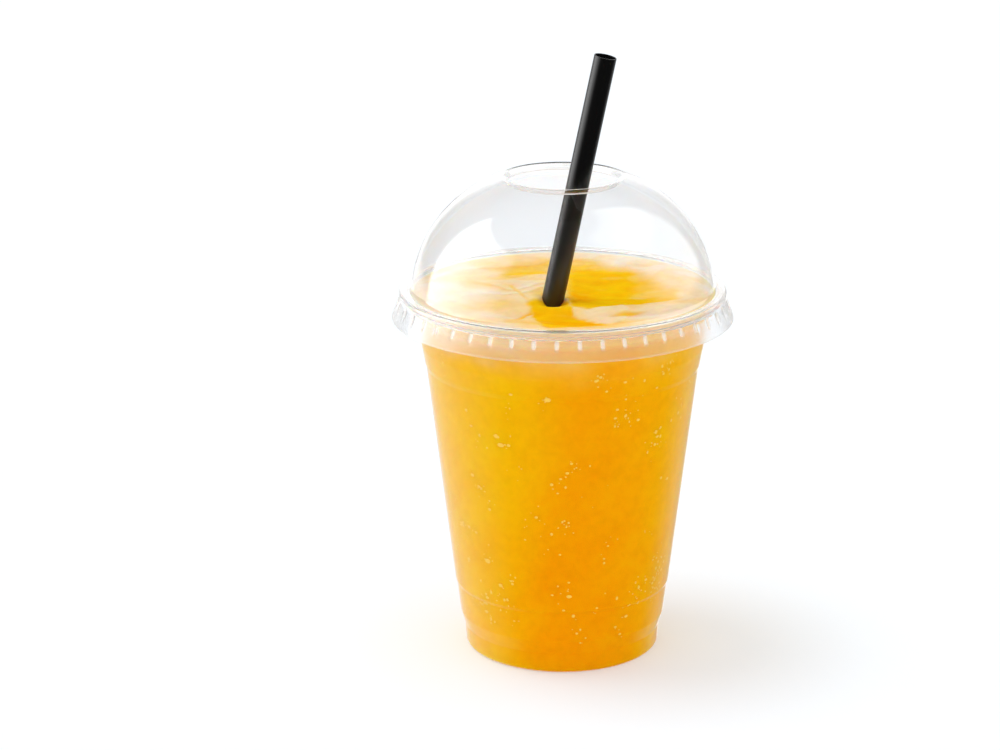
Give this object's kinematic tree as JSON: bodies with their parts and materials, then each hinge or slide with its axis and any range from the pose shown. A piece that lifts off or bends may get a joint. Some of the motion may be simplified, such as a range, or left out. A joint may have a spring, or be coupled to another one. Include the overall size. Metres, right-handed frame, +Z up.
{
  "type": "cup of orangeade",
  "caption": "Clear takeaway cup filled to the brim with thick orange drink, under a clear dome lid with a round hole that a black straw leans through.",
  "frame": {"origin": "centre of the foot's contact plane, on the cup's axis", "axes": "+Z up along the cup's axis, -Y towards the viewer, +X to the side that the straw's top leans to"},
  "size_m": [0.1024, 0.1022, 0.1854],
  "materials": {
    "cup_plastic": "clear, thin, thermoformed",
    "orangeade": "thick, frothy, opaque drink, stood in for by a plain solid",
    "lid_plastic": "clear, thin, thermoformed",
    "straw_plastic": "smooth satin black"
  },
  "bodies": {
    "root": {"cup": "cup_plastic", "drink": "orangeade", "lid": "lid_plastic", "straw": "straw_plastic"}
  },
  "joints": []
}
